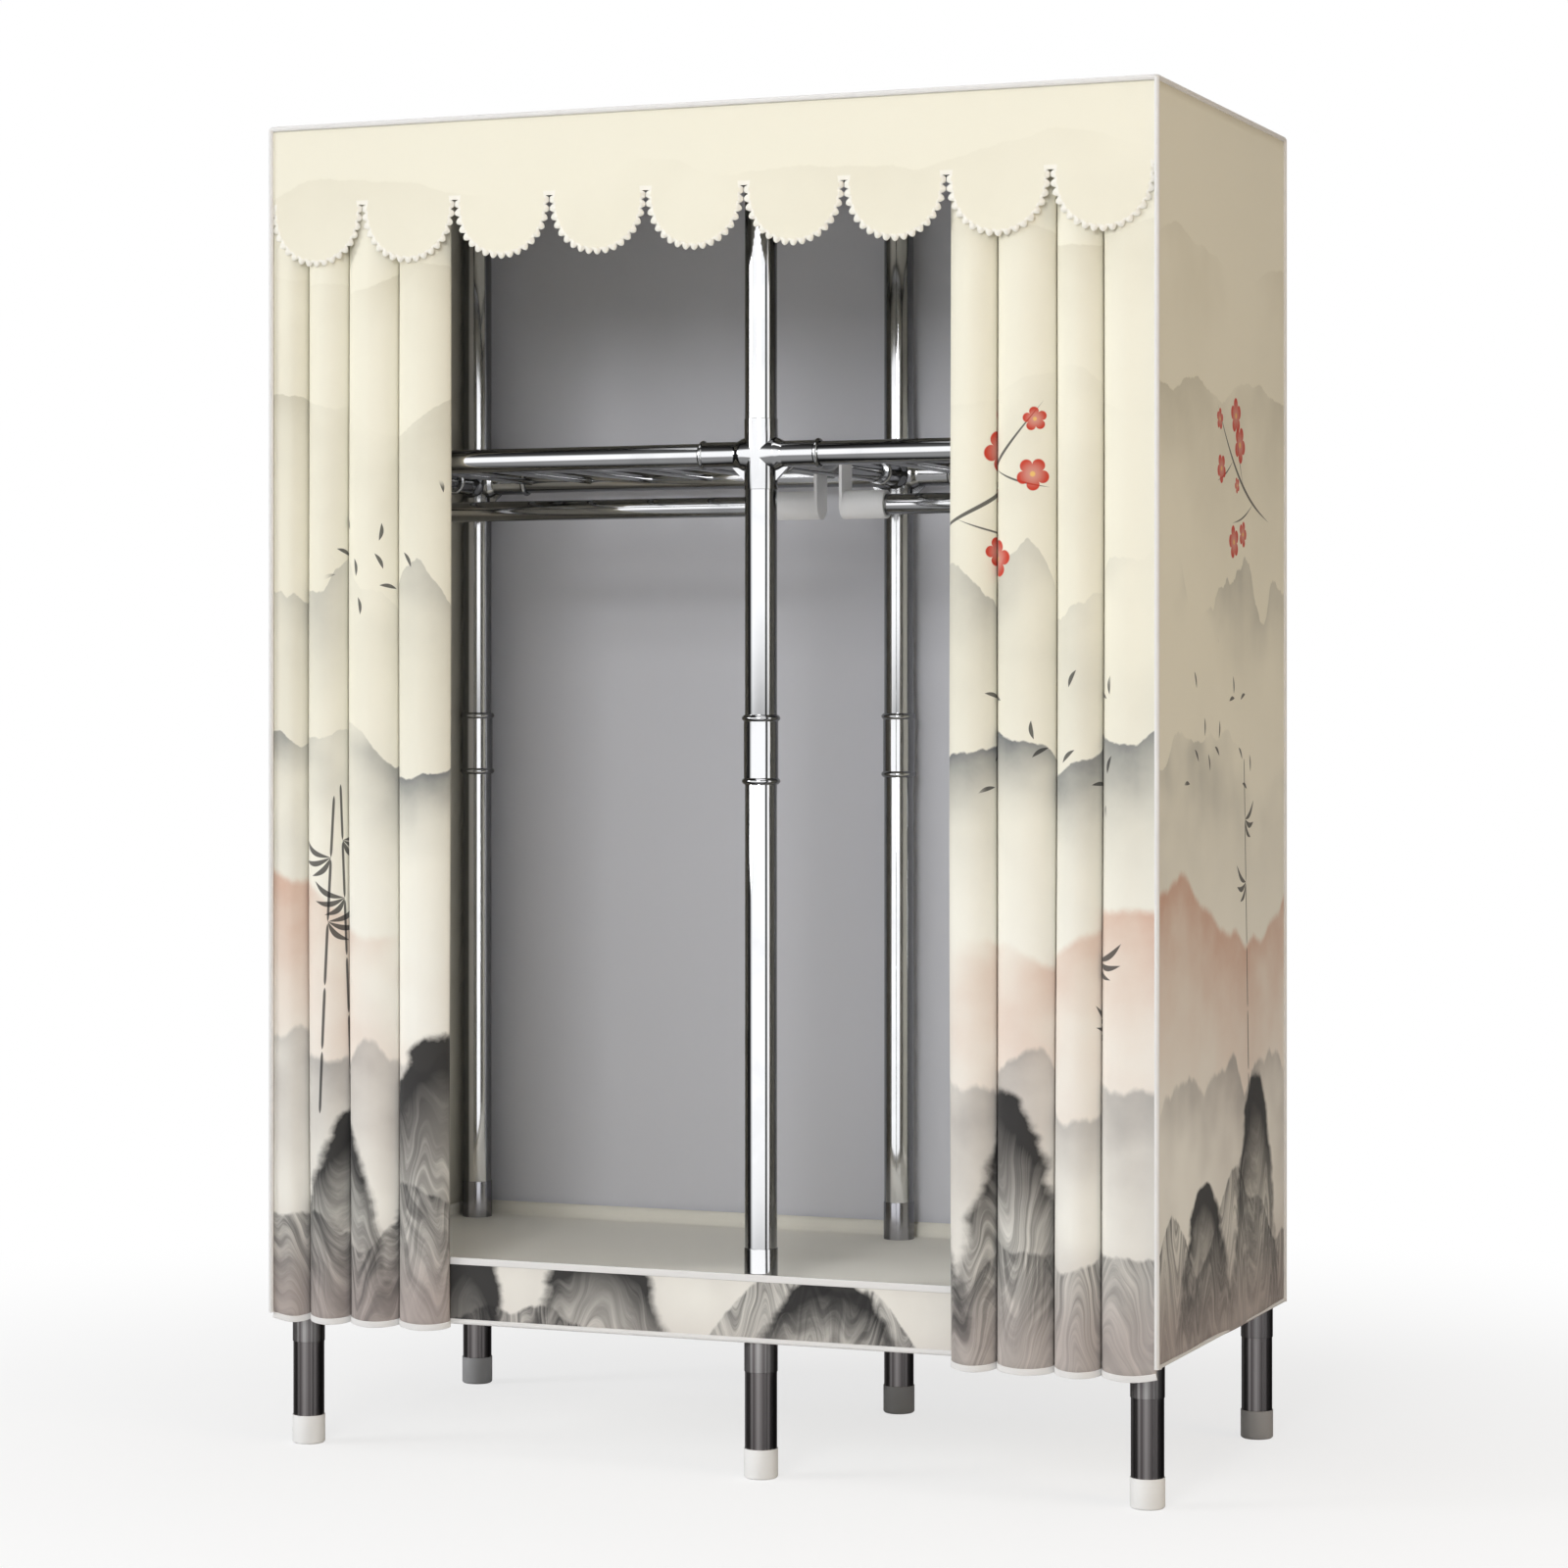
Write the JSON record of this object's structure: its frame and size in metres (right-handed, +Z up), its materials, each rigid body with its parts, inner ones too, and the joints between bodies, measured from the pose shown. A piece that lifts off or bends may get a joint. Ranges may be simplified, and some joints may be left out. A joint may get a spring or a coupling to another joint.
{
  "type": "portable fabric wardrobe",
  "caption": "Portable wardrobe: a chromed tube frame on posts under a printed cloth cover, with sliding curtains, barred shelves, hanging rods and a cloth floor tray.",
  "frame": {"origin": "on the floor, under the middle of the cloth cover", "axes": "+Z up, +X to the right along the open front as seen by a person facing it, the front facing -Y"},
  "size_m": [1.187, 0.58, 1.7],
  "materials": {
    "tube_chrome": "polished",
    "connector_chrome": "polished",
    "cap_plastic": "moulded",
    "cup_plastic": "moulded",
    "curtain_cloth": "printed",
    "cover_cloth": "printed",
    "back_cloth": "plain",
    "tray_cloth": "plain"
  },
  "bodies": {
    "root": {"foot_cap_left_front": "cap_plastic", "foot_cap_left_back": "cap_plastic", "foot_cap_centre_front": "cap_plastic", "foot_cap_centre_back": "cap_plastic", "foot_cap_right_front": "cap_plastic", "foot_cap_right_back": "cap_plastic", "lower_post_left_front": "tube_chrome", "lower_post_left_back": "tube_chrome", "lower_post_centre_front": "tube_chrome", "lower_post_centre_back": "tube_chrome", "lower_post_right_front": "tube_chrome", "lower_post_right_back": "tube_chrome", "upper_post_left_front": "tube_chrome", "upper_post_left_back": "tube_chrome", "upper_post_centre_front": "tube_chrome", "upper_post_centre_back": "tube_chrome", "upper_post_right_front": "tube_chrome", "upper_post_right_back": "tube_chrome", "depth_frame_left_bottom": "connector_chrome", "depth_frame_centre_bottom": "connector_chrome", "depth_frame_right_bottom": "connector_chrome", "depth_frame_left_shelf": "connector_chrome", "depth_frame_centre_shelf": "connector_chrome", "depth_frame_right_shelf": "connector_chrome", "depth_frame_left_top": "connector_chrome", "depth_frame_centre_top": "connector_chrome", "depth_frame_right_top": "connector_chrome", "cross_connector": "connector_chrome", "bottom_rail_left_front": "tube_chrome", "bottom_rail_left_back": "tube_chrome", "bottom_rail_right_front": "tube_chrome", "bottom_rail_right_back": "tube_chrome", "top_rail_left_front": "tube_chrome", "top_rail_left_back": "tube_chrome", "top_rail_right_front": "tube_chrome", "top_rail_right_back": "tube_chrome", "shelf_left": "tube_chrome", "shelf_right": "tube_chrome", "hanging_rod_left": "tube_chrome", "hanging_rod_right": "tube_chrome", "rod_cup_left_start": "cup_plastic", "rod_cup_left_end": "cup_plastic", "rod_cup_right_start": "cup_plastic", "rod_cup_right_end": "cup_plastic", "curtain_rod": "tube_chrome", "curtain_rod_clip": "cap_plastic", "left_curtain_fold_1": "curtain_cloth", "right_curtain_fold_1": "curtain_cloth", "cover_top": "cover_cloth", "cover_left": "cover_cloth", "cover_right": "cover_cloth", "cover_back": "back_cloth", "valance": "cover_cloth", "floor_tray": "tray_cloth"},
    "left_second": {"left_curtain_fold_2": "curtain_cloth"},
    "left_third": {"left_curtain_fold_3": "curtain_cloth"},
    "left_lead": {"left_curtain_fold_4": "curtain_cloth"},
    "right_second": {"right_curtain_fold_2": "curtain_cloth"},
    "right_third": {"right_curtain_fold_3": "curtain_cloth"},
    "right_lead": {"right_curtain_fold_4": "curtain_cloth"}
  },
  "joints": [
    {"name": "left_curtain_draw", "type": "slide", "parent": "root", "child": "left_lead", "axis": [1, 0, 0], "range_m": [0, 0.3275]},
    {"name": "left_second_spread", "type": "slide", "parent": "root", "child": "left_second", "axis": [1, 0, 0], "range_m": [0, 0.0657]},
    {"name": "left_third_spread", "type": "slide", "parent": "root", "child": "left_third", "axis": [1, 0, 0], "range_m": [0, 0.228]},
    {"name": "right_curtain_draw", "type": "slide", "parent": "root", "child": "right_lead", "axis": [-1, 0, 0], "range_m": [0, 0.3275]},
    {"name": "right_second_spread", "type": "slide", "parent": "root", "child": "right_second", "axis": [-1, 0, 0], "range_m": [0, 0.074]},
    {"name": "right_third_spread", "type": "slide", "parent": "root", "child": "right_third", "axis": [-1, 0, 0], "range_m": [0, 0.2465]}
  ],
  "couplings": [
    {"joint": "left_second_spread", "follows": "left_curtain_draw", "ratio": 0.1993},
    {"joint": "left_third_spread", "follows": "left_curtain_draw", "ratio": 0.6934},
    {"joint": "right_second_spread", "follows": "right_curtain_draw", "ratio": 0.2245},
    {"joint": "right_third_spread", "follows": "right_curtain_draw", "ratio": 0.7515}
  ]
}
